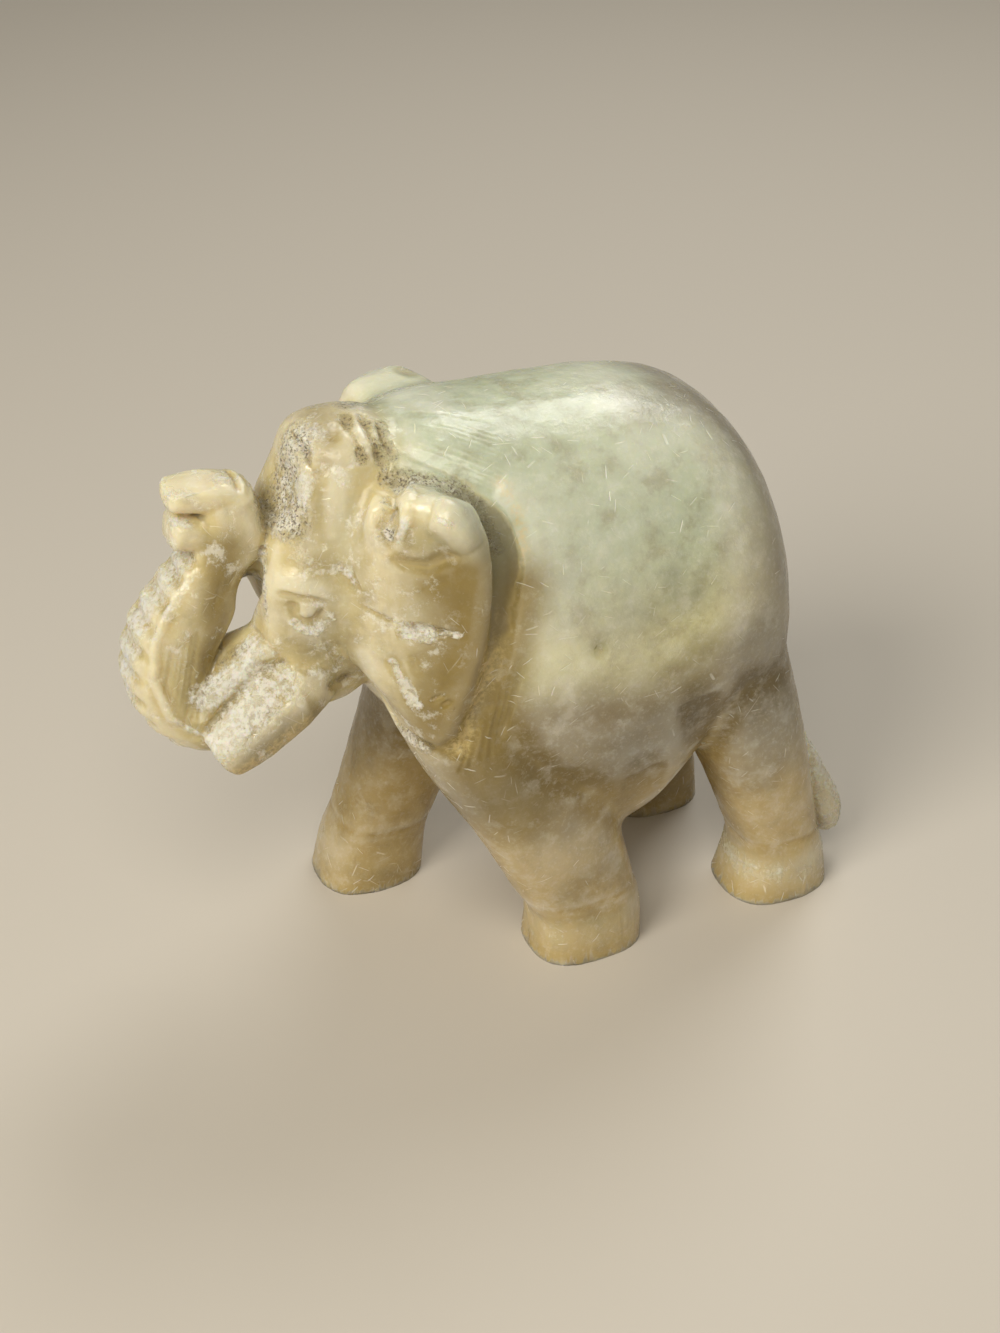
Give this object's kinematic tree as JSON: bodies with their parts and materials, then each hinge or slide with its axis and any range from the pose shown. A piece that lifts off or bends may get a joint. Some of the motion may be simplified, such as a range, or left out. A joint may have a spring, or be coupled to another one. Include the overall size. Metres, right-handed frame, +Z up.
{
  "type": "soapstone elephant figurine",
  "caption": "Small walking elephant with a raised trunk, carved by hand from one pale green-cream soapstone block, standing on its own feet.",
  "frame": {"origin": "on the floor under the middle of the figure's box", "axes": "+Z up, -X the way the elephant walks, -Y its left side"},
  "size_m": [0.0602, 0.0264, 0.0495],
  "materials": {
    "soapstone": "hand polished, waxy, slightly translucent, with file marks and dirt in the recesses"
  },
  "bodies": {
    "root": {"carved_elephant": "soapstone"}
  },
  "joints": []
}
